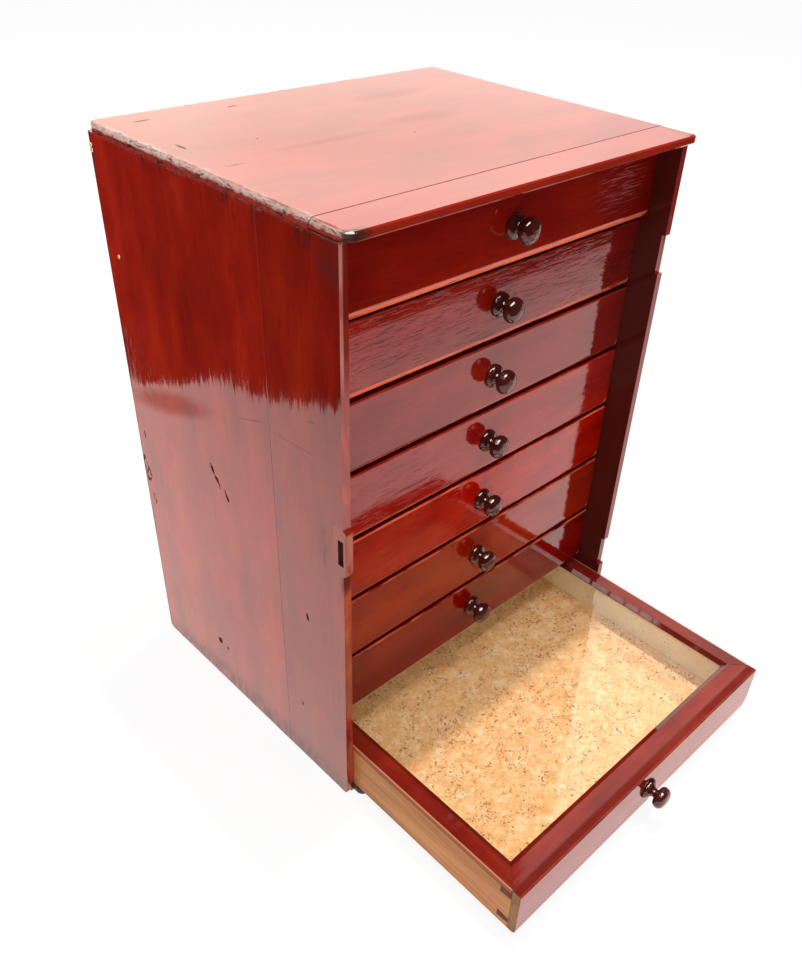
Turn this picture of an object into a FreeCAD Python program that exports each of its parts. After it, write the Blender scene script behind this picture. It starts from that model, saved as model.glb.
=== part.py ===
import FreeCAD, Part
import math
import os
import Sketcher

# Specimen cabinet: a thin-walled carcass with eight glazed, cork-lined drawers.
# Millimetres. X runs to the right, -Y to the front, Z up. The origin is the centre of the
# carcass underside, so the side panels' front edges lie at y = -depth / 2.

document = FreeCAD.newDocument("SpecimenCabinet")

# ---------------------------------------------------------------- driving sizes
SIZES = {
    # carcass
    "width": 330.0,             # over both sides
    "depth": 266.4,             # side panels, front edge to rear edge
    "side_board": 6.5,          # thickness of the side boards
    "front_board": 74.0,        # width of the front board of each side
    "top_board": 6.0,           # thickness of the top and its front strip
    "base_board": 8.0,          # thickness of the bottom board
    "back_board": 4.0,          # thickness of the back panel
    "strip_overhang": 6.2,      # front strip of the top, ahead of the sides
    "strip_joint": 25.3,        # its glued joint, behind the sides' front edges
    "strip_bevel": 1.0,         # bevel of the strip's front arrises
    "strip_left_corner": 9.0,   # its worn front corners, seen from above
    "strip_right_corner": 3.0,
    "worn_arris": 4.5,          # worn left upper arris of the top
    "lip": 11.0,                # bottom board's lip, ahead of the sides
    "lip_corner": 6.0,          # its rounded corners, seen from above
    "lip_bevel": 1.5,           # its bevelled front arrises
    "rear_corner": 10.0,        # worn rear left corner of the top
    "rear_round": 2.0,          # rounded rear outer arris of the sides
    "foot_corner": 3.0,         # worn lower front corner of the sides
    "rear_foot_corner": 8.0,    # worn lower rear left corner of the side and the bottom board
    "housing": 2.0,             # depth of the housings in the sides
    # missing door's fittings
    "hinge_length": 31.0,       # hinge mortises in the right side
    "hinge_depth": 2.8,
    "hinge_top": 393.5,         # top of the upper mortise
    "hinge_base": 64.5,         # bottom of the lower mortise
    "keep_length": 38.0,        # keep block in the left side
    "keep_level": 233.8,
    "keep_depth": 10.0,
    "keep_proud": 3.0,          # how far the block stands out in front
    "keep_corner": 2.8,         # its rounded corners, seen from the side
    "keep_slot": 21.0,          # mortise in the block's outer face
    "keep_slot_width": 5.5,
    "keep_slot_depth": 3.0,
    "keep_slot_rise": 7.8,      # from the block's lower end to the mortise
    # drawers in the carcass
    "recess": 25.0,             # drawer faces behind the sides' front edges
    "side_gap": 0.6,            # drawer to carcass, each side
    "run_gap": 0.3,             # drawer to runner, above and below
    "drawer_gap": 2.8,          # upright gap between two drawers
    "batten_gap": 7.5,          # upright gap between the last two drawers
    "top_gap": 3.8,             # above the first drawer
    "runner": 10.0,             # width of a runner, housing included
    "runner_start": 32.0,       # runners begin this far behind the sides' front edges
    "deep_front": 56.0,         # fronts of drawers 1, 6 and 7
    "middle_front": 52.9,       # fronts of drawers 2 to 5
    "low_front": 46.2,          # front of drawer 8
    "first_out": 6.0,           # drawer 1 stands this far out at rest
    "last_out": 200.0,          # drawer 8 stands this far out at rest
    # drawer joinery
    "front_lap": 7.5,           # front's wood ahead of the dovetails
    "front_thick": 18.0,
    "face_round": 4.0,          # rounded lower arris of the face
    "first_face_round": 7.0,    # the same on drawer 1
    "face_arris": 1.0,          # eased upper arris of the face
    "worn_corner": 9.0,         # worn lower right corner of the face
    "last_worn_corner": 14.0,   # the same on drawer 8
    "drawer_side": 7.0,
    "drawer_back": 4.0,
    "drawer_base": 2.5,         # thickness of the drawer bottom
    "base_rise": 1.0,           # drawer bottom above the sides' lower edges
    "base_groove": 3.0,
    "low_tail": 4.6,            # dovetails, measured at their root
    "low_pin": 7.6,
    "top_pin": 7.0,
    "tail_flare": 1.2,
    "cork": 2.5,
    # lid
    "lid": 5.0,
    "lid_member": 17.0,
    "glass": 2.0,
    "glass_rebate": 5.0,
    "glass_gap": 0.3,
    "lid_slope": 4.0,           # width of the bevel towards the glass
    "lid_edge": 0.8,            # upright edge left below the bevel
    # knob
    "knob_base": 8.4,           # radii
    "knob_neck": 3.7,
    "knob_ball": 9.2,
    "knob_dowel": 3.0,
    "knob_base_rise": 3.0,
    "knob_base_bevel": 1.4,
    "knob_centre": 12.4,
    "knob_ball_half": 5.4,
    "knob_rim": 3.6,            # radius of the ball's rim
    "knob_dowel_length": 10.0,
}

sheet = document.addObject("Spreadsheet::Sheet", "Sizes")
for row, (alias, number) in enumerate(SIZES.items(), start=1):
    sheet.set("A%d" % row, alias)
    sheet.set("B%d" % row, str(number))
    sheet.setAlias("B%d" % row, alias)
document.recompute()


class Size:
    """A length as a number and as the expression that a property is bound to."""

    def __init__(self, number, text):
        self.number = number
        self.text = text

    def joined(self, other, sign, number):
        other_text = other.text if isinstance(other, Size) else repr(float(other))
        return Size(number, "(%s %s %s)" % (self.text, sign, other_text))

    def __add__(self, other):
        return self.joined(other, "+", self.number + value_of(other))

    def __sub__(self, other):
        return self.joined(other, "-", self.number - value_of(other))

    def __mul__(self, other):
        return self.joined(other, "*", self.number * value_of(other))

    def __truediv__(self, other):
        return self.joined(other, "/", self.number / value_of(other))

    def __neg__(self):
        return Size(-self.number, "(0 - %s)" % self.text)


def value_of(length):
    return length.number if isinstance(length, Size) else float(length)


def size(alias):
    return Size(SIZES[alias], "Sizes.%s" % alias)


ZERO = Size(0.0, "0")


# ---------------------------------------------------------------- modelling helpers
def bind(item, path, length):
    item.setExpression(path, length.text)


def place(item, x=ZERO, y=ZERO, z=ZERO, turn=None):
    """Bind an object's position, and turn it about an axis by whole degrees."""
    if turn:
        axis, angle = turn
        item.Placement = FreeCAD.Placement(FreeCAD.Vector(), FreeCAD.Rotation(axis, angle))
    bind(item, "Placement.Base.x", x)
    bind(item, "Placement.Base.y", y)
    bind(item, "Placement.Base.z", z)


def new_body(label):
    body = document.addObject("PartDesign::Body", label)
    body.Label = label
    return body


def new_sketch(body, name, plane, offset=ZERO):
    """A sketch on one of the body's own origin planes, moved along its normal."""
    sketch = body.newObject("Sketcher::SketchObject", name)
    support = [item for item in body.Origin.OriginFeatures if item.Role == plane][0]
    sketch.AttachmentSupport = (support, [""])
    sketch.MapMode = "FlatFace"
    bind(sketch, "AttachmentOffset.Base.z", offset)
    return sketch


def fix_point(sketch, line, end, x, y):
    """Hold one end of a line at (x, y) from the sketch's origin."""
    for kind, length in (("DistanceX", x), ("DistanceY", y)):
        number = sketch.addConstraint(
            Sketcher.Constraint(kind, -1, 1, line, end, length.number))
        bind(sketch, "Constraints[%d]" % number, length)


def outline(sketch, points):
    """A closed run of straight lines through the points."""
    first = sketch.GeometryCount
    spots = [FreeCAD.Vector(x.number, y.number, 0) for x, y in points]
    count = len(points)
    for index in range(count):
        sketch.addGeometry(Part.LineSegment(spots[index], spots[(index + 1) % count]))
    for index in range(count):
        following = first + (index + 1) % count
        sketch.addConstraint(Sketcher.Constraint("Coincident", first + index, 2, following, 1))
    for index, (x, y) in enumerate(points):
        fix_point(sketch, first + index, 1, x, y)


def rectangle(sketch, x0, y0, x1, y1):
    outline(sketch, [(x0, y0), (x1, y0), (x1, y1), (x0, y1)])


def circle(sketch, x, y, radius):
    number = sketch.addGeometry(
        Part.Circle(FreeCAD.Vector(x.number, y.number, 0), FreeCAD.Vector(0, 0, 1), radius.number))
    fix_point(sketch, number, 3, x, y)
    constraint = sketch.addConstraint(Sketcher.Constraint("Radius", number, radius.number))
    bind(sketch, "Constraints[%d]" % constraint, radius)


def round_corner(sketch, x, y, radius, side_x, side_y):
    """The waste outside a rounded corner at (x, y); side_x and side_y point into the wood."""
    inner_x = x + radius * side_x
    inner_y = y + radius * side_y
    first = sketch.GeometryCount
    corner = FreeCAD.Vector(x.number, y.number, 0)
    along_x = FreeCAD.Vector(inner_x.number, y.number, 0)
    along_y = FreeCAD.Vector(x.number, inner_y.number, 0)
    centre = FreeCAD.Vector(inner_x.number, inner_y.number, 0)
    middle = centre + (corner - centre).normalize() * radius.number
    sketch.addGeometry(Part.LineSegment(along_x, corner))
    sketch.addGeometry(Part.LineSegment(corner, along_y))
    sketch.addGeometry(Part.Arc(along_y, middle, along_x))
    sketch.addConstraint(Sketcher.Constraint("Coincident", first, 2, first + 1, 1))
    fix_point(sketch, first, 1, inner_x, y)
    fix_point(sketch, first, 2, x, y)
    fix_point(sketch, first + 1, 2, x, inner_y)
    ends = (1, 2) if arc_starts_at(sketch, first + 2, along_y) else (2, 1)
    sketch.addConstraint(Sketcher.Constraint("Coincident", first + 2, ends[0], first + 1, 2))
    sketch.addConstraint(Sketcher.Constraint("Coincident", first + 2, ends[1], first, 1))
    number = sketch.addConstraint(Sketcher.Constraint("Radius", first + 2, radius.number))
    bind(sketch, "Constraints[%d]" % number, radius)


def arc_starts_at(sketch, arc, spot):
    return sketch.getPoint(arc, 1).distanceToPoint(spot) < 1e-6


def pad(body, name, sketch, length, backwards=False):
    feature = body.newObject("PartDesign::Pad", name)
    feature.Profile = sketch
    feature.Reversed = backwards
    bind(feature, "Length", length)
    sketch.Visibility = False
    document.recompute()


def pocket(body, name, sketch, depth, backwards=False):
    feature = body.newObject("PartDesign::Pocket", name)
    feature.Profile = sketch
    feature.Reversed = backwards
    bind(feature, "Length", depth)
    sketch.Visibility = False
    document.recompute()


def ease_edges(body, name, length, wanted, kind="Fillet"):
    """Fillet or chamfer the edges of the body's tip that satisfy the test."""
    base = body.Tip
    names = ["Edge%d" % (index + 1) for index, edge in enumerate(base.Shape.Edges) if wanted(edge)]
    feature = body.newObject("PartDesign::" + kind, name)
    feature.Base = (base, names)
    bind(feature, "Radius" if kind == "Fillet" else "Size", length)
    document.recompute()


def wear_corner(body, name, plane, offset, corner, length):
    """Cut the waste of round_corner() away over a length, ahead of the sketch."""
    sketch = new_sketch(body, name + "Waste", plane, offset)
    round_corner(sketch, *corner)
    pocket(body, name, sketch, length, backwards=plane == "YZ_Plane")


def edge_along(axis, **where):
    """Test for a straight edge along an axis whose middle lies at the given coordinates."""
    def wanted(edge):
        box = edge.BoundBox
        spans = {"x": box.XLength, "y": box.YLength, "z": box.ZLength}
        middle = {"x": box.Center.x, "y": box.Center.y, "z": box.Center.z}
        if spans[axis] < 1 or any(spans[other] > 1e-4 for other in spans if other != axis):
            return False
        return all(abs(middle[key] - value_of(length)) < 1e-3 for key, length in where.items())
    return wanted


def block(label, x, y, z, length, breadth, height):
    """A plain rectangular piece as a Part box."""
    box = document.addObject("Part::Box", label)
    box.Label = label
    bind(box, "Length", length)
    bind(box, "Width", breadth)
    bind(box, "Height", height)
    place(box, x, y, z)
    return box


def group(label, pieces):
    compound = document.addObject("Part::Compound", label)
    compound.Label = label
    compound.Links = pieces
    return compound


X_AXIS = FreeCAD.Vector(1, 0, 0)
Z_AXIS = FreeCAD.Vector(0, 0, 1)

# ---------------------------------------------------------------- derived places
width = size("width")
depth = size("depth")
side_board = size("side_board")
front_board = size("front_board")
top_board = size("top_board")
base_board = size("base_board")
back_board = size("back_board")
housing = size("housing")
run_gap = size("run_gap")
front_y = -(depth / 2)
left_x = -(width / 2)
inner_half = width / 2 - side_board
back_face = depth - back_board      # from the sides' front edges
drawer_width = (inner_half - size("side_gap")) * 2
FRONTS = ["deep_front"] + ["middle_front"] * 4 + ["deep_front"] * 2 + ["low_front"]
GAPS_BELOW = ["drawer_gap"] * 6 + ["batten_gap"]
DRAWERS = range(1, 9)

# levels of the drawers' lower edges, worked out upwards from the bottom board
level = {8: base_board + run_gap}
for number in range(7, 0, -1):
    below = number + 1
    level[number] = level[below] + size(FRONTS[below - 1]) + size(GAPS_BELOW[number - 1])
side_height = level[1] + size(FRONTS[0]) + size("top_gap")

# each runner as (lower face, upper face); the last pair are the kickers above drawer 1
RUNNERS = []
for number in range(7, 0, -1):
    under = level[number + 1] + size(FRONTS[number]) + run_gap
    RUNNERS.append((under, level[number] - run_gap))
RUNNERS.append((level[1] + size(FRONTS[0]) + run_gap, side_height))


# ---------------------------------------------------------------- carcass
def side_panel_board(label, start, end, left):
    """One board of a side, with its housings cut from the inner face."""
    body = new_body(label)
    sketch = new_sketch(body, "Face", "YZ_Plane")
    rectangle(sketch, ZERO, ZERO, end - start, side_height)
    pad(body, "Board", sketch, side_board)
    inner = side_board if left else ZERO
    sketch = new_sketch(body, "Housings", "YZ_Plane", inner)
    begin = size("runner_start") if start is ZERO else ZERO
    finish = front_board if start is ZERO else back_face - start
    rectangle(sketch, ZERO, ZERO, end - start, base_board)
    for lower, upper in RUNNERS:
        rectangle(sketch, begin, lower, finish, upper)
    if start is not ZERO:
        rectangle(sketch, finish, base_board, end - start, side_height)
    pocket(body, "Housing", sketch, housing, backwards=not left)
    outside = left_x if left else width / 2 - side_board
    place(body, outside, front_y + start)
    return body


left_front_board = side_panel_board("left_front_board", ZERO, front_board, True)
left_rear_board = side_panel_board("left_rear_board", front_board, depth, True)
right_front_board = side_panel_board("right_front_board", ZERO, front_board, False)
right_rear_board = side_panel_board("right_rear_board", front_board, depth, False)

# hinge mortises in the right side's front edge
mortises = new_sketch(right_front_board, "HingeMortises", "YZ_Plane")
hinge_top = size("hinge_top")
hinge_base = size("hinge_base")
hinge_length = size("hinge_length")
rectangle(mortises, ZERO, hinge_top - hinge_length, size("hinge_depth"), hinge_top)
rectangle(mortises, ZERO, hinge_base, size("hinge_depth"), hinge_base + hinge_length)
pocket(right_front_board, "HingeMortise", mortises, side_board, backwards=True)

# seat of the keep block in the left side's front edge
keep_level = size("keep_level")
keep_length = size("keep_length")
keep_depth = size("keep_depth")
seat = new_sketch(left_front_board, "KeepSeat", "YZ_Plane")
rectangle(seat, ZERO, keep_level, keep_depth, keep_level + keep_length)
pocket(left_front_board, "KeepSeatCut", seat, side_board, backwards=True)

# rear outer arrises rounded, feet worn
for board, outer in ((left_rear_board, ZERO), (right_rear_board, side_board)):
    ease_edges(board, "RearRound", size("rear_round"),
               edge_along("z", x=outer, y=depth - front_board))
for board in (left_front_board, right_front_board):
    wear_corner(board, "Foot", "YZ_Plane", ZERO, (ZERO, ZERO, size("foot_corner"), 1, 1), side_board)
wear_corner(left_rear_board, "RearFoot", "YZ_Plane", ZERO,
            (depth - front_board, ZERO, size("rear_foot_corner"), -1, 1), side_board)

# keep block: stands proud of the side, with a shallow mortise in its outer face
keep = new_body("lock_keep_block")
proud_y = -size("keep_proud")
sketch = new_sketch(keep, "Face", "YZ_Plane")
rectangle(sketch, proud_y, ZERO, keep_depth, keep_length)
pad(keep, "Block", sketch, side_board)
ease_edges(keep, "Eased", size("face_arris"), edge_along("z", y=proud_y))
for name, end, inward in (("Lower", ZERO, 1), ("Upper", keep_length, -1)):
    wear_corner(keep, name + "Corner", "YZ_Plane", ZERO,
                (proud_y, end, size("keep_corner"), 1, inward), side_board)
sketch = new_sketch(keep, "SlotFace", "YZ_Plane")
slot_rise = size("keep_slot_rise")
rectangle(sketch, ZERO, slot_rise, size("keep_slot_width"), slot_rise + size("keep_slot"))
pocket(keep, "Slot", sketch, size("keep_slot_depth"), backwards=True)
place(keep, left_x, front_y, keep_level)

# top board, and the strip glued to its front edge; the left upper arris is worn round
top = new_body("top_board")
worn_arris = (left_x, top_board, size("worn_arris"), 1, -1)
strip_joint = size("strip_joint")
sketch = new_sketch(top, "Plan", "XY_Plane")
rectangle(sketch, left_x, strip_joint, width / 2, depth)
pad(top, "Board", sketch, top_board)
ease_edges(top, "WornCorner", size("rear_corner"), edge_along("z", x=left_x, y=depth))
wear_corner(top, "WornArris", "XZ_Plane", ZERO, worn_arris, depth)
place(top, ZERO, front_y, side_height)

strip = new_body("top_front_strip")
overhang = size("strip_overhang")
sketch = new_sketch(strip, "Plan", "XY_Plane")
rectangle(sketch, left_x, -overhang, width / 2, strip_joint)
pad(strip, "Strip", sketch, top_board)
for name, x in (("Left", left_x), ("Right", width / 2)):
    ease_edges(strip, name + "Corner", size("strip_%s_corner" % name.lower()),
               edge_along("z", x=x, y=-overhang))
ease_edges(strip, "FrontBevel", size("strip_bevel"), edge_along("x", y=-overhang), "Chamfer")
wear_corner(strip, "WornArris", "XZ_Plane", overhang, worn_arris, overhang + strip_joint)
place(strip, ZERO, front_y, side_height)

# bottom board: tongues in the sides' housings, and a rounded lip between the sides
base = new_body("bottom_board")
sketch = new_sketch(base, "Plan", "XY_Plane")
lip = size("lip")
tongue_half = inner_half + housing
outline(sketch, [
    (-inner_half, -lip), (inner_half, -lip), (inner_half, ZERO), (tongue_half, ZERO),
    (tongue_half, depth), (-tongue_half, depth), (-tongue_half, ZERO), (-inner_half, ZERO),
])
pad(base, "Board", sketch, base_board)
sketch = new_sketch(base, "CornerWaste", "XY_Plane")
lip_corner = size("lip_corner")
round_corner(sketch, inner_half, -lip, lip_corner, -1, 1)
round_corner(sketch, -inner_half, -lip, lip_corner, 1, 1)
round_corner(sketch, -tongue_half, depth, size("rear_foot_corner"), 1, -1)
pocket(base, "WornCorners", sketch, base_board, backwards=True)
ease_edges(base, "LipBevel", size("lip_bevel"), edge_along("x", y=-lip), "Chamfer")
place(base, ZERO, front_y)

# back panel, rebated into both sides and standing on the bottom board
back = new_body("back_panel")
sketch = new_sketch(back, "Face", "XZ_Plane")
rectangle(sketch, -tongue_half, base_board, tongue_half, side_height)
pad(back, "Panel", sketch, back_board, backwards=True)
place(back, ZERO, front_y + back_face)


# runners, and the kickers above drawer 1
def housed_strip(label, left, lower, upper):
    inner_x = -tongue_half if left else tongue_half - size("runner")
    start = size("runner_start")
    return block(label, inner_x, front_y + start, lower,
                 size("runner"), back_face - start, upper - lower)


for side_name in ("left", "right"):
    group("%s_runners" % side_name,
          [housed_strip("%s_runner_%d" % (side_name, index + 1), side_name == "left", lower, upper)
           for index, (lower, upper) in enumerate(RUNNERS[:-1])])
group("top_kickers", [housed_strip("%s_kicker" % side_name, side_name == "left", *RUNNERS[-1])
                      for side_name in ("left", "right")])


# ---------------------------------------------------------------- drawers
lap = size("front_lap")
front_thick = size("front_thick")
drawer_side = size("drawer_side")
drawer_depth = back_face - size("recess") - run_gap
drawer_back = size("drawer_back")
drawer_base = size("drawer_base")
base_rise = size("base_rise")
base_groove = size("base_groove")
cork = size("cork")
lid = size("lid")
member = size("lid_member")
half_drawer = drawer_width / 2
inner_drawer = half_drawer - drawer_side
flare = size("tail_flare")
low_tail = size("low_tail")
pin_start = low_tail
pin_end = low_tail + size("low_pin")
base_top = base_rise + drawer_base


def tail_outlines(height):
    """The two dovetails of a drawer side, seen from the side (y back, z up)."""
    top_root = height - size("top_pin")
    low = [(front_thick, ZERO), (front_thick, low_tail), (lap, low_tail + flare), (lap, ZERO)]
    high = [(front_thick, pin_end), (front_thick, top_root), (lap, top_root + flare),
            (lap, pin_end - flare)]
    return low, high


def drawer_front(number, height):
    body = new_body("drawer_%d_front" % number)
    shoulder = height - lid
    sketch = new_sketch(body, "Section", "YZ_Plane", -half_drawer)
    outline(sketch, [(ZERO, ZERO), (front_thick, ZERO), (front_thick, shoulder), (lap, shoulder),
                     (lap, height), (ZERO, height)])
    pad(body, "Front", sketch, drawer_width)
    lower_round = size("first_face_round" if number == 1 else "face_round")
    ease_edges(body, "LowerRound", lower_round, edge_along("x", y=ZERO, z=ZERO))
    ease_edges(body, "UpperArris", size("face_arris"), edge_along("x", y=ZERO, z=height))
    worn = size("last_worn_corner" if number == 8 else "worn_corner")
    wear_corner(body, "WornCorner", "XZ_Plane", ZERO, (half_drawer, ZERO, worn, -1, 1), lap)
    for name, offset, from_left in (("Left", -half_drawer, True), ("Right", half_drawer, False)):
        sketch = new_sketch(body, name + "Sockets", "YZ_Plane", offset)
        for points in tail_outlines(shoulder):
            outline(sketch, points)
        pocket(body, name + "Socket", sketch, drawer_side, backwards=from_left)
    sketch = new_sketch(body, "GrooveSection", "YZ_Plane", inner_drawer)
    rectangle(sketch, front_thick - base_groove, base_rise, front_thick, base_top)
    pocket(body, "BottomGroove", sketch, inner_drawer * 2)
    sketch = new_sketch(body, "KnobHole", "XZ_Plane")
    circle(sketch, ZERO, height / 2, size("knob_dowel"))
    pocket(body, "DowelHole", sketch, size("knob_dowel_length"))
    return body


def drawer_side_board(number, height, left):
    side_name = "left" if left else "right"
    body = new_body("drawer_%d_%s_side" % (number, side_name))
    low, high = tail_outlines(height)
    sketch = new_sketch(body, "Elevation", "YZ_Plane")
    outline(sketch, [(drawer_depth, ZERO), (drawer_depth, height), (front_thick, height)]
            + high[1:] + high[:1] + low[1:])
    pad(body, "Board", sketch, drawer_side)
    inner = drawer_side if left else ZERO
    sketch = new_sketch(body, "GrooveAndRebate", "YZ_Plane", inner)
    rear_seat = drawer_depth - drawer_back
    outline(sketch, [(front_thick - base_groove, base_rise), (drawer_depth, base_rise),
                     (drawer_depth, height), (rear_seat, height), (rear_seat, base_top),
                     (front_thick - base_groove, base_top)])
    pocket(body, "Groove", sketch, base_groove, backwards=not left)
    place(body, -half_drawer if left else inner_drawer)
    return body


def lid_member(label, length, x, y, z, angle):
    """One mitred member: local x from the outer edge to the glass, local y along it."""
    body = new_body(label)
    glass = size("glass")
    seat_x = member - size("glass_rebate")
    edge_z = glass + size("lid_edge")
    sketch = new_sketch(body, "Section", "XZ_Plane")
    outline(sketch, [(ZERO, ZERO), (seat_x, ZERO), (seat_x, glass), (member, glass),
                     (member, edge_z), (member - size("lid_slope"), lid), (ZERO, lid)])
    pad(body, "Member", sketch, length, backwards=True)
    sketch = new_sketch(body, "MitreWaste", "XY_Plane")
    outline(sketch, [(ZERO, ZERO), (member, ZERO), (member, member)])
    outline(sketch, [(ZERO, length), (member, length - member), (member, length)])
    pocket(body, "Mitres", sketch, lid, backwards=True)
    place(body, x, y, z, (Z_AXIS, angle))
    return body


def turned_knob(number, height):
    """A knob turned about its own +Z, its base on z = 0 and its dowel below."""
    body = new_body("drawer_%d_knob" % number)
    radius = size("knob_base")
    neck = size("knob_neck")
    dowel = size("knob_dowel")
    dowel_end = -size("knob_dowel_length")
    rise = size("knob_base_rise")
    bevel = size("knob_base_bevel")
    sketch = new_sketch(body, "Half", "XZ_Plane")
    joint, tip = oval_ball(sketch)
    corners = [(ZERO, dowel_end), (dowel, dowel_end), (dowel, ZERO), (radius, ZERO),
               (radius, rise - bevel), (radius - bevel, rise), (neck, rise)]
    first = sketch.GeometryCount
    spots = [FreeCAD.Vector(x.number, y.number, 0) for x, y in corners]
    spots = [sketch.getPoint(*tip)] + spots + [sketch.getPoint(*joint)]
    for start, end in zip(spots, spots[1:]):
        sketch.addGeometry(Part.LineSegment(start, end))
    for index, (x, y) in enumerate(corners):
        fix_point(sketch, first + index + 1, 1, x, y)
        sketch.addConstraint(
            Sketcher.Constraint("Coincident", first + index, 2, first + index + 1, 1))
    last = first + len(corners)
    sketch.addConstraint(Sketcher.Constraint("Coincident", first, 1, *tip))
    sketch.addConstraint(Sketcher.Constraint("Coincident", last, 2, *joint))
    sketch.addConstraint(Sketcher.Constraint("Vertical", last))
    turned = body.newObject("PartDesign::Revolution", "Turned")
    turned.Profile = sketch
    turned.ReferenceAxis = (sketch, ["V_Axis"])
    turned.Angle = 360
    sketch.Visibility = False
    place(body, ZERO, ZERO, height / 2, (X_AXIS, 90))
    return body


def oval_ball(sketch):
    """The flattened ball's half outline: a crown and a heel of one radius, and a small rim.

    Returns the heel's end on the neck and the crown's end on the axis, as sketch points.
    """
    centre_y = size("knob_centre")
    rim = size("knob_rim")
    half = size("knob_ball_half")
    ball = size("knob_ball")
    neck = size("knob_neck")
    rim_x = ball - rim
    wide = ((rim_x.number ** 2 + half.number ** 2 - rim.number ** 2)
            / (2 * (half.number - rim.number)))
    reach = wide - rim.number
    slope = FreeCAD.Vector(rim_x.number, wide - half.number, 0) / reach
    rim_centre = FreeCAD.Vector(rim_x.number, centre_y.number, 0)
    upper_join = rim_centre + slope * rim.number
    lower_join = rim_centre + FreeCAD.Vector(slope.x, -slope.y, 0) * rim.number
    crown_centre = FreeCAD.Vector(0, centre_y.number + half.number - wide, 0)
    heel_centre = FreeCAD.Vector(0, centre_y.number - half.number + wide, 0)
    apex = FreeCAD.Vector(0, centre_y.number + half.number, 0)
    heel_angle = math.asin(neck.number / wide)
    heel_end = heel_centre + FreeCAD.Vector(neck.number, -wide * math.cos(heel_angle), 0)
    crown_middle = crown_centre + ((upper_join + apex) / 2 - crown_centre).normalize() * wide
    heel_middle = heel_centre + ((lower_join + heel_end) / 2 - heel_centre).normalize() * wide
    rim_tip = rim_centre + FreeCAD.Vector(rim.number, 0, 0)
    first = sketch.GeometryCount
    sketch.addGeometry(Part.Arc(upper_join, crown_middle, apex))
    sketch.addGeometry(Part.Arc(lower_join, rim_tip, upper_join))
    sketch.addGeometry(Part.Arc(heel_end, heel_middle, lower_join))
    crown, edge, heel = first, first + 1, first + 2
    fix_point(sketch, edge, 3, rim_x, centre_y)
    number = sketch.addConstraint(Sketcher.Constraint("Radius", edge, rim.number))
    bind(sketch, "Constraints[%d]" % number, rim)
    sketch.addConstraint(Sketcher.Constraint("Tangent", crown, 1, edge, 2))
    sketch.addConstraint(Sketcher.Constraint("Tangent", heel, 2, edge, 1))
    sketch.addConstraint(Sketcher.Constraint("PointOnObject", crown, 3, -2))
    sketch.addConstraint(Sketcher.Constraint("PointOnObject", heel, 3, -2))
    sketch.addConstraint(Sketcher.Constraint("Equal", crown, heel))
    fix_point(sketch, crown, 2, ZERO, centre_y + half)
    return (heel, 1), (crown, 2)


def moved_with_drawer(pieces, number, out):
    """Carry a drawer's pieces from the drawer's own frame to its place in the carcass."""
    y = front_y + size("recess") - out
    for piece in pieces:
        old = piece.Placement.Base
        for path, shift in (("y", y), ("z", level[number])):
            formula = dict(piece.ExpressionEngine).get(".Placement.Base.%s" % path)
            formula = formula or dict(piece.ExpressionEngine).get("Placement.Base.%s" % path)
            base_formula = formula if formula else repr(getattr(old, path))
            piece.setExpression("Placement.Base.%s" % path, "%s + %s" % (shift.text, base_formula))


def drawer(number):
    height = size(FRONTS[number - 1])
    name = "drawer_%d_" % number
    out = {1: size("first_out"), 8: size("last_out")}.get(number, ZERO)
    shoulder = height - lid
    front = drawer_front(number, height)
    place(front)
    sides = [drawer_side_board(number, shoulder, True), drawer_side_board(number, shoulder, False)]
    groove_half = inner_drawer + base_groove
    rear = block(name + "back", -groove_half, drawer_depth - drawer_back, base_top,
                 groove_half * 2, drawer_back, shoulder - base_top)
    floor_start = front_thick - base_groove
    floor = block(name + "bottom", -groove_half, floor_start, base_rise,
                  groove_half * 2, drawer_depth - floor_start, drawer_base)
    lining = block(name + "cork", -inner_drawer, front_thick, base_top,
                   inner_drawer * 2, drawer_depth - drawer_back - front_thick, cork)
    lid_length = drawer_depth - lap
    members = [
        lid_member(name + "lid_left", lid_length, -half_drawer, lap, shoulder, 0),
        lid_member(name + "lid_right", lid_length, half_drawer, drawer_depth, shoulder, 180),
        lid_member(name + "lid_front", drawer_width, half_drawer, lap, shoulder, 90),
        lid_member(name + "lid_rear", drawer_width, -half_drawer, drawer_depth, shoulder, -90),
    ]
    glass_edge = member - size("glass_rebate") + size("glass_gap")
    pane = block(name + "glass", -half_drawer + glass_edge, lap + glass_edge, shoulder,
                 drawer_width - glass_edge * 2, lid_length - glass_edge * 2, size("glass"))
    knob = turned_knob(number, height)
    moved_with_drawer([front, rear, floor, lining, pane, knob] + sides + members, number, out)
    group(name + "box", sides + [rear, floor])
    group(name + "lid", members)


for number in DRAWERS:
    drawer(number)

document.recompute()

# ---------------------------------------------------------------- check and write
NODES = ["left_front_board", "left_rear_board", "right_front_board", "right_rear_board",
         "top_board", "top_front_strip", "bottom_board", "back_panel", "left_runners",
         "right_runners", "top_kickers", "lock_keep_block"]
for number in DRAWERS:
    for piece in ("front", "box", "cork", "lid", "glass", "knob"):
        NODES.append("drawer_%d_%s" % (number, piece))

for item in document.Objects:
    if "Invalid" in item.State or "Error" in item.State:
        raise RuntimeError("%s is %s" % (item.Label, item.State))

os.makedirs("parts", exist_ok=True)
for node in NODES:
    item = document.getObjectsByLabel(node)[0]
    if item.Shape.isNull() or not item.Shape.isValid():
        raise RuntimeError("%s has no valid shape" % node)
    item.Shape.exportStep("parts/%s.step" % node)
    print(node, "solids", len(item.Shape.Solids), "volume", round(item.Shape.Volume, 1))
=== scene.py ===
# %% [markdown]
# # A specimen cabinet with eight glazed drawers
#
# The cabinet's wooden pieces come from its CAD model, already at their true size and place.
# This script gives every piece its finish (stain, varnish, wear, cork, paper, glass) and adds
# the thin or tiny things that CAD leaves out: paper linings, turned knobs, brass pins, iron
# nails and the knocks of a century of use. One unit is a metre, and +Z is up.

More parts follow.
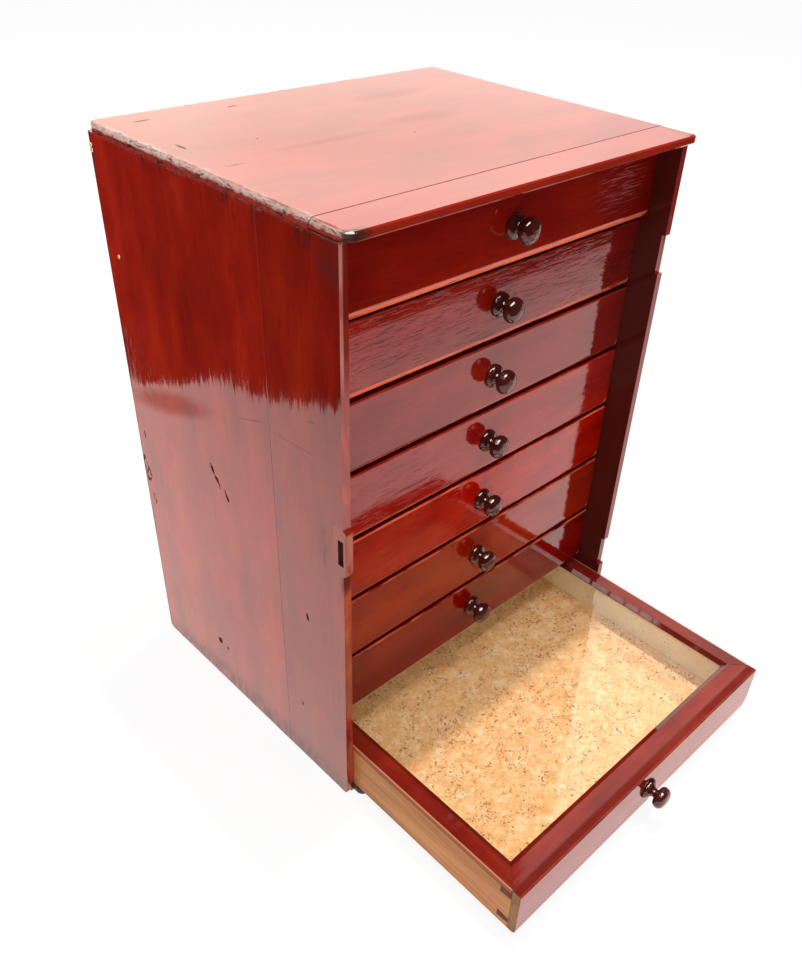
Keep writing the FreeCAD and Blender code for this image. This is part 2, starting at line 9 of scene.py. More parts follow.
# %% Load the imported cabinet
import math

import bmesh
import bpy
from mathutils import Matrix, Vector


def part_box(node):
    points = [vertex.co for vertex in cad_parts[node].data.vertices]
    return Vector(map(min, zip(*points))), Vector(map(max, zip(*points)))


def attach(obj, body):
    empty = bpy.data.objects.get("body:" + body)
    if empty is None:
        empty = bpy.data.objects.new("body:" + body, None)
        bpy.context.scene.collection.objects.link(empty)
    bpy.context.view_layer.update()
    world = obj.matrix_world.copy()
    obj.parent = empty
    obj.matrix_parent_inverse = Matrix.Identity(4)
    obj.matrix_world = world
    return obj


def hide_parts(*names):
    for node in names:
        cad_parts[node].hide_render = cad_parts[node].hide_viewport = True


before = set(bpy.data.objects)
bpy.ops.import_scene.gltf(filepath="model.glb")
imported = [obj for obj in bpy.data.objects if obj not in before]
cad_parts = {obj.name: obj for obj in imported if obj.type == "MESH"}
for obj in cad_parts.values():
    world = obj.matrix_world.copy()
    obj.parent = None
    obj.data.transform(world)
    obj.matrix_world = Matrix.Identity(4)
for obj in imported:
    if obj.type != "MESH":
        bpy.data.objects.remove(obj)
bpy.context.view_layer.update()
MM = 0.001
DRAWERS = range(1, 9)

# %% [markdown]
# ## The camera
#
# The viewer stands a little to the left of the cabinet and looks down on it from close by, so
# the top, the left side and the drawer fronts all show, and upright edges lean together towards
# the floor. A camera can be aimed with a Track To constraint, but here its place and its turn
# are known as numbers, so they are set directly. The lens is a short telephoto, and the small
# shifts move the cabinet a little right and down in the render.

# %% Place the camera
IMAGE_HEIGHT = 980
FOCAL_PIXELS = 913.47
SENSOR_MM = 36

camera = bpy.data.objects.new("camera", bpy.data.cameras.new("camera"))
bpy.context.scene.collection.objects.link(camera)
camera.location = (-0.45942, -0.49089, 0.63504)
camera.rotation_euler = [math.radians(angle) for angle in (53.476, -2.431, -44.281)]
camera.data.sensor_fit = "VERTICAL"
camera.data.sensor_height = SENSOR_MM
camera.data.lens = FOCAL_PIXELS * SENSOR_MM / IMAGE_HEIGHT
camera.data.shift_x = -0.0272
camera.data.shift_y = 0.0185
camera.data.clip_start = 0.01
bpy.context.scene.camera = camera
print("lens", round(camera.data.lens, 2), "mm")

# %% [markdown]
# ## Wiring shader nodes
#
# Every finish is a small tree of shader nodes. The trees can be wired by hand in the Shader
# Editor, but in a script the same few steps come back again and again: add a node, set its
# inputs, join it to the one before. These helpers do each step in a line. A value that is
# another node's output is joined, and any other value is set on the socket itself. An output
# knows which tree it is in, so only a node that nothing is joined to has to be given its tree.

# %% Helpers for shader nodes
def tree_of(values):
    """The tree of nodes that the first socket among the values is in."""
    return next(value.id_data for value in values if isinstance(value, bpy.types.NodeSocket))


def add(kind, inputs=None, tree=None, **settings):
    """One shader node, with its settings and its inputs."""
    inputs = inputs or {}
    tree = tree or tree_of(inputs.values())
    node = tree.nodes.new("ShaderNode" + kind)
    for key, setting in settings.items():
        setattr(node, key, setting)
    for key, value in inputs.items():
        if isinstance(value, bpy.types.NodeSocket):
            tree.links.new(value, node.inputs[key])
        else:
            node.inputs[key].default_value = value
    return node


def sums(operation, *values):
    """What a Math node gives."""
    return add("Math", dict(enumerate(values)), operation=operation).outputs[0]


def minus(first, second):
    """What is left of the first value; 1 minus a mask is its opposite."""
    return sums("SUBTRACT", first, second)


def remap(value, low, high, first=0, last=1):
    """The value eased from first to last as it goes from low to high."""
    return add("MapRange", {"Value": value, "From Min": low, "From Max": high, "To Min": first,
                            "To Max": last}, interpolation_type="SMOOTHSTEP").outputs["Result"]


def mixed(amount, first, second, blend="MIX"):
    """Two colours mixed; a plain colour is given as three numbers."""
    values = (amount, first, second)
    tree = tree_of(values)
    node = add("Mix", tree=tree, data_type="RGBA", blend_type=blend)
    for index, value in zip((0, 6, 7), values):
        socket = node.inputs[index]
        if isinstance(value, bpy.types.NodeSocket):
            tree.links.new(value, socket)
        else:
            socket.default_value = (*value, 1) if isinstance(value, tuple) else value
    return node.outputs[2]


def ramp(value, *stops):
    """A colour for each place along a value."""
    node = add("ValToRGB", {"Fac": value})
    elements = node.color_ramp.elements
    for index, (place, colour) in enumerate(stops):
        element = elements[index] if index < 2 else elements.new(place)
        element.position = place
        element.color = (*colour, 1)
    return node.outputs["Color"]


def noise(vector, scale, detail=4, roughness=0.55, distortion=0):
    """A cloudy value between 0 and 1."""
    return add("TexNoise", {"Vector": vector, "Scale": scale, "Detail": detail,
                            "Roughness": roughness, "Distortion": distortion}).outputs["Fac"]


# %% Places on a piece
def whole_place(tree):
    """The object's own coordinates."""
    return add("TexCoord", tree=tree).outputs["Object"]


def coordinates(tree):
    """The same, and x, y and z."""
    whole = whole_place(tree)
    return whole, *add("SeparateXYZ", {"Vector": whole}).outputs


def stretched(whole, grain, along=0.06, shift=(0, 0, 0)):
    """Coordinates drawn out along the grain, so that a noise read there gives streaks."""
    scale = [along if axis == grain else 1 for axis in "XYZ"]
    return add("Mapping", {"Vector": whole, "Location": shift, "Scale": scale}).outputs[0]


def facing(whole, axis):
    """How squarely the surface faces along an axis (0, 1 or 2), either way."""
    normal = add("TexCoord", tree=whole.id_data).outputs["Normal"]
    return sums("ABSOLUTE", add("SeparateXYZ", {"Vector": normal}).outputs[axis])


# %% Masks, which are 1 where a mark is and 0 elsewhere
def near(value, centre, reach, soft):
    """1 where the value is within reach of the centre, fading to 0 over the soft distance."""
    distance = sums("ABSOLUTE", minus(value, centre))
    return remap(distance, reach + soft, reach)


def share(mask, *amounts):
    """A mask taken down by one or more amounts, each a number or another mask."""
    for amount in amounts:
        mask = sums("MULTIPLY", mask, amount)
    return mask


def either(*masks):
    """The strongest of several masks."""
    result = masks[0]
    for mask in masks[1:]:
        result = sums("MAXIMUM", result, mask)
    return result


def spot(whole, centre, size, ragged=0, soft=0.3, turn=0):
    """1 inside an ellipsoid round the centre, with a ragged or soft rim, turned about X."""
    local = add("Mapping", {"Vector": whole, "Location": centre, "Scale": size,
                            "Rotation": (math.radians(turn), 0, 0)},
                vector_type="TEXTURE").outputs[0]
    distance = add("VectorMath", {0: local}, operation="LENGTH").outputs["Value"]
    if ragged:
        rim = minus(noise(whole, 420, 3), 0.5)
        distance = sums("MULTIPLY_ADD", rim, ragged, distance)
    return remap(distance, 1 + soft / 2, 1 - soft / 2)


# %% A material and its surface
def new_finish(name):
    """An empty material and its tree of nodes."""
    material = bpy.data.materials.new(name)
    material.use_nodes = True
    material.node_tree.nodes.clear()
    return material, material.node_tree


def show(shader):
    """Join a shader to the material's output."""
    add("OutputMaterial", {"Surface": shader.outputs[0]})


def relief(height, depth, over=None, inwards=False):
    """Bump from a height between 0 and 1 that is depth metres deep, over another normal."""
    inputs = {"Height": height, "Distance": depth, "Strength": 1}
    if over is not None:
        inputs["Normal"] = over
    return add("Bump", inputs, invert=inwards).outputs[0]


def painted(colour, *coats):
    """The colour under coats of paint: each is a mask, how much of it shows, and a colour."""
    for mask, amount, paint in coats:
        colour = mixed(share(mask, amount), colour, paint)
    return colour


# %% [markdown]
# ## The studio
#
# Glossy varnish shows its surroundings, so they are built as carefully as the cabinet. It
# stands on a white sheet in a dark room. Behind it are a pale backdrop, a brighter strip of wall
# above that and a high wall to the left; a bright window is on its right and a lit panel above
# its front. The camera could see all this too, but then it would fill the background, so only
# reflections do. The sheet's glow ends a little way in front of the cabinet and to its left,
# which is why the topmost drawer and the upper part of the left side mirror the dark room and
# look a deeper red. The light comes from the sky and from four lamps, which nothing mirrors.

# %% Helpers for stage pieces
def object_from(bm, name, material):
    """An object at the origin, made from a finished bmesh and linked to the scene."""
    mesh = bpy.data.meshes.new(name)
    bm.to_mesh(mesh)
    bm.free()
    mesh.materials.append(material)
    item = bpy.data.objects.new(name, mesh)
    bpy.context.scene.collection.objects.link(item)
    return item


def glow(name, colour, strength):
    """A material that shines by itself."""
    material, tree = new_finish(name)
    show(add("Emission", {"Color": (*colour, 1), "Strength": strength}, tree))
    return material


def only_reflected(item):
    """Leave an object to reflections alone."""
    item.visible_camera = False
    item.visible_diffuse = False
    item.visible_shadow = False
    item.visible_transmission = False


def card(name, corners, material):
    """A flat card through its corners that only reflections can see."""
    bm = bmesh.new()
    bm.faces.new([bm.verts.new(corner) for corner in corners])
    only_reflected(object_from(bm, name, material))


def level(left, front, right, rear, z):
    """The corners of a level card."""
    return [(left, front, z), (right, front, z), (right, rear, z), (left, rear, z)]


def upright(first, second, low, high):
    """The corners of a card that stands between two places, from low to high."""
    return [(*first, low), (*second, low), (*second, high), (*first, high)]


# %% White sheet
# It is a plain diffuse floor for the light that falls on the cabinet. In view and in
# reflections part of its brightness is its own glow, which keeps its shadows faint. In
# reflections that glow is warmer towards the front.
SHEET_SIZE = 9
GLOW_IN_VIEW = 0.88
GLOW_IN_REFLECTIONS = 1.55

sheet, tree = new_finish("white_sheet")
path = add("LightPath", tree=tree)
_, _, y, _ = coordinates(tree)
warmth = mixed(remap(y, -0.66, -0.6), (1.1, 0.66, 0.63), (1.15, 0.84, 0.8))
warmth = mixed(remap(y, -0.24, -0.16), warmth, (1, 0.86, 0.8))
plain = add("BsdfDiffuse", {"Color": (0.8, 0.79, 0.78, 1)}, tree)
faint = add("BsdfDiffuse", {"Color": (0.14, 0.14, 0.14, 1)}, tree)
white = add("Emission", {"Color": (1, 1, 1, 1), "Strength": GLOW_IN_VIEW}, tree)
warm = add("Emission", {"Color": warmth, "Strength": GLOW_IN_REFLECTIONS})
seen = add("AddShader", {0: faint.outputs[0], 1: white.outputs[0]})
mirrored = add("AddShader", {0: faint.outputs[0], 1: warm.outputs[0]})
reflecting = either(path.outputs["Is Glossy Ray"], path.outputs["Is Transmission Ray"])
shown = add("MixShader", {0: path.outputs["Is Camera Ray"], 1: plain.outputs[0],
                          2: seen.outputs[0]})
show(add("MixShader", {0: reflecting, 1: shown.outputs[0], 2: mirrored.outputs[0]}))

bm = bmesh.new()
bmesh.ops.create_grid(bm, x_segments=1, y_segments=1, size=SHEET_SIZE)
floor = object_from(bm, "floor", sheet)
print("sheet reaches", SHEET_SIZE, "m each way")

# %% Dark room
# Two dark cards lie just over the sheet, in front of the cabinet and to its left. The rim of
# the left one draws the ragged edge of the reflection in the left side.
SHEET_FRONT = -0.715
OVER_SHEET = 0.0008
LEFT_RIM = [(-9, SHEET_FRONT), (-1.1, SHEET_FRONT), (-0.7, 0.25), (-0.545, 0.355), (-0.49, 0.45),
            (-0.48, 0.52), (-0.43, 0.54), (-0.385, 0.58), (-0.4, 0.66), (-0.43, 0.74),
            (-0.35, 1.1), (-0.1, 9), (-9, 9)]

dark = glow("dark_room", (1, 0.8, 0.7), 0.03)
card("dark_front", level(-SHEET_SIZE, -SHEET_SIZE, SHEET_SIZE, SHEET_FRONT, OVER_SHEET), dark)
card("dark_left", [(*place, OVER_SHEET) for place in LEFT_RIM], dark)
bm = bmesh.new()
bmesh.ops.create_cube(bm, size=14)
bmesh.ops.reverse_faces(bm, faces=bm.faces)
only_reflected(object_from(bm, "room", dark))
print("dark room, with", len(LEFT_RIM), "corners to the left card")

# %% Backdrop, walls, window and ceiling panel
backdrop, tree = new_finish("backdrop")
_, x, _, z = coordinates(tree)
across = sums("MULTIPLY_ADD", x, 1 / 2.6, -0.6 / 2.6)
brightness = ramp(across, (0.3, (1, 0.98, 0.86)), (0.39, (0.86, 0.84, 0.74)),
                  (0.6, (0.8, 0.79, 0.71)), (0.8, (0.8, 0.79, 0.72)), (0.97, (0.7, 0.69, 0.645)))
show(add("Emission", {"Color": brightness, "Strength": remap(z, 1.25, 1.5, 2.05, 2.65)}))

REAR_CORNER, RIGHT_END = (0.3, 3.2), (3.2, 1.6)
card("pale_backdrop", upright(REAR_CORNER, RIGHT_END, 0, 1.7), backdrop)
card("bright_window", upright((1.68, 0.84), (1.99, -0.08), 1.5, 3.6),
     glow("bright_window", (1, 0.98, 0.9), 1.25))
bpy.data.objects["bright_window"].visible_transmission = True
card("high_wall", upright((-2.1, 3.2), REAR_CORNER, 1, 4.2),
     glow("high_wall", (1, 0.96, 0.92), 1.3))
card("wall_strip", upright(REAR_CORNER, RIGHT_END, 1.7, 2.3),
     glow("wall_strip", (1, 0.95, 0.88), 2.2))
card("ceiling_panel", level(-1.6, -1.9, 0.4, 0, 2.58),
     glow("ceiling_panel", (1, 0.97, 0.92), 22))
print("stage has", len(bpy.data.materials), "materials")

# %% World and lamps
world = bpy.data.worlds.new("world")
bpy.context.scene.world = world
world.use_nodes = True
tree = world.node_tree
tree.nodes.clear()
path = add("LightPath", tree=tree)
sky_seen = either(path.outputs["Is Camera Ray"], path.outputs["Is Transmission Ray"])
sky = add("Background", {"Color": (1, 1, 1, 1), "Strength": remap(sky_seen, 0, 1, 0.62, 1)})
add("OutputWorld", {"Surface": sky.outputs[0]})
bpy.context.scene.view_settings.view_transform = "Standard"


def lamp(name, place, target, size, power, colour):
    """A round lamp that is aimed at its target and leaves no reflection."""
    light = bpy.data.lights.new(name, "AREA")
    light.shape = "DISK"
    light.size = size
    light.energy = power
    light.color = colour
    item = bpy.data.objects.new(name, light)
    bpy.context.scene.collection.objects.link(item)
    item.location = place
    way = Vector(target) - Vector(place)
    item.rotation_euler = way.to_track_quat("-Z", "Y").to_euler()
    item.visible_glossy = item.visible_transmission = False


lamp("ceiling_lamp", (-0.5, -0.7, 2.6), (0, 0, 0.2), 0.7, 11, (1, 0.94, 0.87))
lamp("front_lamp", (0.25, -0.9, 2.4), (0, 0, 0.2), 0.15, 8, (1, 0.94, 0.87))
lamp("top_lamp", (0.25, -0.06, 2.4), (0, 0, 0.2), 0.08, 25, (1, 0.96, 0.9))
lamp("window_light", (1.86, 0.83, 2.17), (0, -0.2, 0.05), 0.5, 21, (1, 0.96, 0.9))
print("lit by", len(bpy.data.lights), "lamps")

# %% [markdown]
# ## Stained and varnished wood
#
# The wood is a plain, fine-grained board, stained a deep red and brushed with gloss varnish.
# Two layers make that look: under a clear coat lies the stained wood, streaked along its grain,
# and the coat mirrors the room. A rough base with a smooth coat is closer to the real thing
# than one glossy surface, because the colour below stays dull while the varnish shines. The
# brush left fine ridges along the boards, so the coat has a slight relief of its own, and the
# edges of the reflections look combed.

# %% Stain
def scaled(colour, factor):
    """A colour made brighter or darker."""
    return tuple(min(channel * factor, 0.95) for channel in colour)


def stained(whole, grain, stain, shift, contrast):
    """The colour of stained wood, streaked along the grain, and its finest streaks."""
    column = noise(stretched(whole, grain, 0.1, shift), 24, 2)
    broad = noise(stretched(whole, grain, 0.22, shift), 62, 3)
    cloud = noise(stretched(whole, grain, 0.55, shift), 24, 4)
    fine = noise(stretched(whole, grain, 0.04, shift), 520, 3, 0.65)
    value = sums("MULTIPLY_ADD", column, 0.22, share(fine, 0.12))
    value = sums("MULTIPLY_ADD", broad, 0.24, sums("MULTIPLY_ADD", cloud, 0.42, value))
    deep, bright = scaled(stain, 1 - 0.6 * contrast), scaled(stain, 1 + 0.62 * contrast)
    bright = (bright[0], bright[1] * (1 + 0.9 * contrast), bright[2])
    return ramp(value, (0.38, deep), (0.5, stain), (0.63, bright)), fine


def pore_marks(whole, grain, shift):
    """Short fine dashes along the grain, where open pores in the wood took the stain dark."""
    dashes = noise(stretched(whole, grain, 0.1, shift), 640, 3, 0.65)
    return remap(dashes, 0.53, 0.68)


# %% Varnish over stain
GRAIN_DEPTH, BRUSH_DEPTH, DENT_DEPTH = 0.06 * MM, 0.018 * MM, 0.3 * MM


def combed(whole, grain, shift, tilt):
    """The way the surface faces, swayed a little to and fro along the grain in fine streaks."""
    streaks = noise(stretched(whole, grain, 0.05, shift), 260, 5, 0.75)
    sway = share(minus(streaks, 0.5), tilt)
    along = add("CombineXYZ", {grain: sway}).outputs[0]
    faced = add("NewGeometry", tree=whole.id_data).outputs["Normal"]
    swayed = add("VectorMath", {0: faced, 1: along}, operation="ADD").outputs[0]
    return add("VectorMath", {0: swayed}, operation="NORMALIZE").outputs[0]


def brush_ridges(whole, grain, shift):
    """The finest ridges that the brush left."""
    return noise(stretched(whole, grain, 0.03, shift), 300, 2)


def varnish(colour, coat, skin, **more):
    """A dull base under a clear coat; skin is the way the coat faces."""
    show(add("BsdfPrincipled", {
        "Base Color": colour, "Roughness": 0.6, "Specular IOR Level": 0, "Coat Weight": coat,
        "Coat Roughness": 0.05, "Coat IOR": 1.5, "Coat Normal": skin, **more}))


def varnished(name, grain, stain, shift, wear, contrast, brush=1, comb=0.03, pores=0.3):
    """Varnish over stain. The function wear adds the piece's own marks: it gives the colour,
    where the coat is dull and where it is dented."""
    material, tree = new_finish(name)
    whole, x, y, z = coordinates(tree)
    colour, fine = stained(whole, grain, stain, shift, contrast)
    dashes = pore_marks(whole, grain, shift)
    colour = painted(colour, (dashes, 0.9 * pores, scaled(stain, 0.35)))
    colour, dull, dent = wear(whole, (x, y, z), colour)
    waves = noise(stretched(whole, grain, 0.3, shift), 60, 2)
    ridges = brush_ridges(whole, grain, shift)
    height = sums("MULTIPLY_ADD", waves, 1.5, sums("MULTIPLY_ADD", dashes, -1.6 * pores, ridges))
    skin = relief(height, BRUSH_DEPTH * brush, combed(whole, grain, shift, comb))
    skin = relief(dent, DENT_DEPTH, skin, inwards=True)
    varnish(colour, minus(1, dull), skin, Normal=relief(fine, GRAIN_DEPTH))
    return material


def dress(node, material):
    """Give a CAD node its finish."""
    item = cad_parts[node]
    item.data.materials.clear()
    item.data.materials.append(material)


# %% [markdown]
# ## Marks of use
#
# A century of handling has rubbed the varnish off the arrises, and the wood beneath has taken
# up grime: pale where it is bare, black where it is cracked. Such marks could be painted by
# hand on an image, but masks made from the piece's own coordinates stay sharp at any distance.
# Each mark is a mask between 0 and 1 that mixes in a colour, dulls the coat and dents it.

# %% Wear along an arris and single marks
NEAR_BLACK = (0.026, 0.015, 0.012)
RUBBED = (0.5, 0.36, 0.31)
BLEACHED = (0.5, 0.33, 0.28)


def rubbed_arris(whole, distance, reach, along):
    """Where an arris is rubbed, and where it is chipped and black, in marks drawn out along it.
    distance is how far each place is from the arris."""
    drawn = stretched(whole, along, 0.35)
    sway = minus(noise(drawn, 130, 4, 0.7), 0.5)
    ragged = sums("MULTIPLY_ADD", sway, 2.4 * reach, distance)
    bare = remap(ragged, 1.2 * reach, 0.2 * reach)
    thin = noise(stretched(whole, along, 0.16), 620, 3, 0.6, 0.5)
    cracks = remap(thin, 0.57, 0.63)
    chips = remap(noise(drawn, 210, 3, 0.7), 0.6, 0.66)
    return bare, share(bare, either(cracks, chips))


def gathered(whole, marks, soft=0.3):
    """The strongest of several spots. Each mark is a centre and half its size in mm, how ragged
    its rim is and, where it is turned, its angle in degrees."""
    spots = []
    for centre, size, ragged, *turn in marks:
        centre, size = [tuple(part * MM for part in three) for three in (centre, size)]
        spots.append(spot(whole, centre, size, ragged, soft, *turn))
    return either(*spots)


# %% Where the carcass has its edges and joints
SIDE_X = 165 * MM
INNER_X = 159 * MM
FRONT_Y = -133.2 * MM
REAR_Y = 133.2 * MM
SIDE_TOP_Z = 462.2 * MM
BOARD_JOINT_Y = FRONT_Y + 74 * MM
STRIP_JOINT_Y = FRONT_Y + 25.3 * MM
print("the joint between the side boards is at y", round(BOARD_JOINT_Y / MM, 1), "mm")

# %% [markdown]
# ## The left side
#
# This side took the most knocks. It has short black cracks, dark scorched rings by its rear
# edge, long shallow scratches and grime at its foot and corners, and the glue joint between its
# boards has opened lower down. Every mark has its own place, so they are kept in tables. One
# function paints both boards, because the coordinates run on from one to the other.

# %% Marks on the left side
def on_left(*marks):
    """Marks on the left face, given by y and z alone; they go 3 mm deep."""
    return [((-165, y, z), (3, wide, high), *rest) for (y, z), (wide, high), *rest in marks]


LEFT_CRACKS = on_left(
    ((19.5, 242.5), (1.8, 4.8), 1.4, -25), ((15, 235.5), (1.9, 3.4), 1.5, -45),
    ((12, 231), (0.9, 3), 1.2, -12), ((3, 225), (1.5, 5.6), 1.5, -28),
    ((40, 47.5), (3, 3.4), 0.8), ((29, 45.5), (1.2, 1.8), 0.8), ((121, 225), (0.8, 4), 0.8),
    ((-91, 168), (1.4, 3), 0.9, -15), ((-79, 64), (0.8, 2.4), 0.6))
LEFT_RINGS = on_left(((128, 192), (2.6, 7), 1.5, -12), ((125, 183), (3, 6), 1.5, 15),
                     ((122, 160), (1.6, 4.5), 1.6, -10))
LEFT_SCRATCHES = on_left(((-36, 311), (16.3, 0.45), 0.5, -19),
                         ((-88, 315.5), (23.2, 0.35), 0.5, -4),
                         ((-104, 340.5), (4, 0.5), 0.5, -12))
LEFT_DIRT = on_left(((-113, 248), (3.5, 15), 1.2), ((-128, 450), (13, 14), 1.2),
                    ((0, 4), (140, 16), 0.9), ((131, 448), (5, 15), 1.2))
LEFT_SMUDGE = on_left(((73, 276), (52, 9), 0.8, -17.5))
BELOW_KEEP = [((-163, -133, 226), (4, 3, 9), 1.2)]
print(len(LEFT_CRACKS), "cracks,", len(LEFT_RINGS), "rings,", len(LEFT_SCRATCHES), "scratches")


# %% Masks for the left side's edges and joint
def left_front_edge(whole, x, y, z):
    """The board's front edge, the outer arris of its upper part, the shaded rest of that part,
    and a cloudy value for its stain."""
    edge = share(facing(whole, 1), remap(y, FRONT_Y + 0.002, FRONT_Y + 0.0005))
    patchy = noise(stretched(whole, "Z", 0.25), 110, 4)
    upper = share(edge, remap(z, 0.36, 0.4))
    outer = remap(x, 0.003 - SIDE_X, 0.0022 - SIDE_X)
    return edge, share(upper, outer), share(upper, minus(1, outer)), patchy


def left_joint(y, z):
    """The glue joint between the boards: a pale line above, and open and dark below."""
    line = near(y, BOARD_JOINT_Y, 0.00012, 0.00022)
    is_open = remap(z, 0.36, 0.3)
    return share(line, minus(1, is_open)), share(line, is_open)


# %% Left side
def left_side_wear(whole, places, colour):
    """Everything that shows on the left side."""
    x, y, z = places
    cracks = gathered(whole, LEFT_CRACKS)
    scratches = gathered(whole, LEFT_SCRATCHES)
    rings = near(gathered(whole, LEFT_RINGS, soft=0.5), 0.5, 0.44, 0.06)
    smudge = gathered(whole, LEFT_SMUDGE, soft=1.2)
    # a darker patch on the front edge below the keep block
    below_keep = share(gathered(whole, BELOW_KEEP, soft=1), 0.6)
    bare, black = rubbed_arris(whole, minus(SIDE_TOP_Z, z), 0.0022, "Y")
    rear, rear_black = rubbed_arris(whole, minus(REAR_Y, y), 0.0016, "Z")
    foot, foot_black = rubbed_arris(whole, z, 0.0016, "Y")
    rub = either(share(bare, 0.1), rear, foot)
    runs = noise(stretched(whole, "Z", 0.3), 120, 3)
    drips = share(remap(z, SIDE_TOP_Z - 0.024, SIDE_TOP_Z - 0.002), remap(runs, 0.56, 0.66))
    streaks = noise(stretched(whole, "Z", 0.3), 260, 4)
    streaky = remap(streaks, 0.4, 0.58, 0.25, 1)
    dirt = share(gathered(whole, LEFT_DIRT, soft=1), streaky)
    # a dark band along the rear edge, in streaks
    outline = share(remap(y, REAR_Y - 0.0036, REAR_Y - 0.0022), streaky)
    front_edge, outer_arris, shaded, patchy = left_front_edge(whole, x, y, z)
    pale_joint, dark_joint = left_joint(y, z)
    dark_marks = either(black, rear_black, foot_black, share(drips, 0.7), cracks, rings, dark_joint,
                   below_keep, share(outline, 0.75))

    # painted light: the lower part of the side, back from its front, made lighter for the light
    # the white sheet throws up. The upper rear is made lighter too.
    bounce_lit_below = share(remap(z, 0.33, 0.25), remap(y, -0.11, -0.03))
    bright_rear = share(remap(y, 0.03, 0.11), remap(z, 0.25, 0.33))
    colour = mixed(bounce_lit_below, colour, (1.15, 1.25, 1.1), "MULTIPLY")
    colour = mixed(bright_rear, colour, (1.25, 1.25, 1.25), "MULTIPLY")
    edge_red = ramp(patchy, (0.38, (0.24, 0.02, 0.012)), (0.5, (0.34, 0.034, 0.02)),
                    (0.62, (0.52, 0.07, 0.034)))
    colour = painted(
        colour,
        (dirt, 0.65, (0.075, 0.022, 0.018)),
        (front_edge, 0.85, edge_red),
        # painted highlight: a pale pink line along the outer arris of the edge's upper part
        (outer_arris, remap(patchy, 0.35, 0.65, 0.4, 0.9), (0.5, 0.21, 0.19)),
        (shaded, 0.75, (0.13, 0.008, 0.006)),
        (rub, 0.45, RUBBED),
        (scratches, 0.6, (0.15, 0.02, 0.014)),
        (pale_joint, 0.4, (0.36, 0.07, 0.06)),
        (dark_marks, 0.85, NEAR_BLACK))
    dull = share(either(share(rub, 0.3), dark_marks, share(scratches, 0.5), share(dirt, 0.3),
                        share(smudge, 0.8)), 0.7)
    dull = either(dull, share(shaded, 0.85), share(either(cracks, rings), 0.95))
    dent = either(cracks, dark_joint, share(either(black, rear_black), 0.4))
    return colour, dull, dent


SIDE_STAIN = (0.34, 0.012, 0.0045)


def dress_side(board, stain, shift, wear, contrast):
    """A side board stands on end, so its grain runs up."""
    dress(board + "_board", varnished(board + "_varnish", "Z", stain, shift, wear, contrast,
                                      comb=0.075, pores=0.25))


dress_side("left_front", scaled(SIDE_STAIN, 0.75), (0.31, 0.12, 0), left_side_wear, 0.55)
dress_side("left_rear", SIDE_STAIN, (0, 0.07, 0.23), left_side_wear, 0.55)
print("left side dressed")

# %% [markdown]
# ## The right side
#
# Its outer face is plain, with rubbed arrises. Its inner face, beside the drawer fronts, lies in
# shade, and that shade is painted into it, nearly black. That face could be given a material of
# its own, but a mask on x keeps each board one piece with one finish.

# %% Right side
def right_side_wear(whole, places, colour):
    """Rubbed arrises outside, and painted shade that makes the inner face nearly black."""
    x, y, z = places
    bare, black = rubbed_arris(whole, minus(SIDE_TOP_Z, z), 0.0016, "Y")
    rear, rear_black = rubbed_arris(whole, minus(REAR_Y, y), 0.0012, "Z")
    rub = either(bare, rear)
    line = near(y, BOARD_JOINT_Y, 0.00014, 0.0002)
    dark_marks = either(black, rear_black, line)
    shaded_inside = remap(x, INNER_X, INNER_X - 0.0003)
    front_edge = share(facing(whole, 1), remap(y, FRONT_Y + 0.004, FRONT_Y + 0.003))
    # painted shade: the inner face beside the drawers, in the recess, made nearly black
    colour = mixed(shaded_inside, colour, mixed(0.86, colour, (0.04, 0.009, 0.008)))
    colour = painted(colour, (rub, 0.55, RUBBED), (dark_marks, 0.85, NEAR_BLACK),
                     (front_edge, 0.65, (0.13, 0.02, 0.02)))
    dull = share(either(share(rub, 0.5), dark_marks, share(shaded_inside, 0.8), share(front_edge, 0.3)), 0.7)
    return colour, dull, dark_marks


dress_side("right_front", SIDE_STAIN, (0.62, 0.5, 0.4), right_side_wear, 0.42)
dress_side("right_rear", SIDE_STAIN, (0.9, 0.2, 0.7), right_side_wear, 0.42)
print("right side dressed")

# %% [markdown]
# ## The top
#
# The top board and the strip in front of it were finished together, so they share one set of
# marks. The rounded left arris is rubbed through to pale wood, in flakes, and only its lower
# part keeps some red. The front left corner is black. On the flat are a few nicks and smears.
# The flakes could be modelled, but they are thinner than the varnish, so masks do for them.

# %% Marks on the top
NICKS = [((-135, 112, 468), (6, 1.2, 3), 0.8), ((-61, 112, 468), (4, 1, 3), 0.8),
         ((-147, 43, 468), (1, 6, 3), 1.1), ((-97, 31, 468), (1, 1, 3), 0.4),
         ((1, -16, 468), (1, 1, 3), 0.4), ((-141, -8, 468), (8, 0.4, 3), 1.2)]
SMEARS = [((60, 75, 468), (34, 8, 6), 0.6), ((33, 10, 468), (34, 9, 6), 0.6),
          ((-60, 2, 468), (40, 4, 6), 1)]
RIGHT_DIRT = [((163, -124, 468), (4, 17, 6), 1.2)]
BLACK_CORNER = [((-162, -139, 464), (13, 5, 7), 1.1)]
print(len(NICKS), "nicks and", len(SMEARS), "smears")


# %% Top board and its front strip
def red_under_arris(whole, x, z):
    """The lower part of the rounded left arris, which has kept its red."""
    wavy = noise(stretched(whole, "Y", 0.4), 200, 4, 0.7)
    height = sums("MULTIPLY_ADD", minus(wavy, 0.5), 0.006, z)
    return share(remap(height, SIDE_TOP_Z + 0.0036, SIDE_TOP_Z + 0.0024),
                 remap(x, 0.004 - SIDE_X, 0.0025 - SIDE_X))


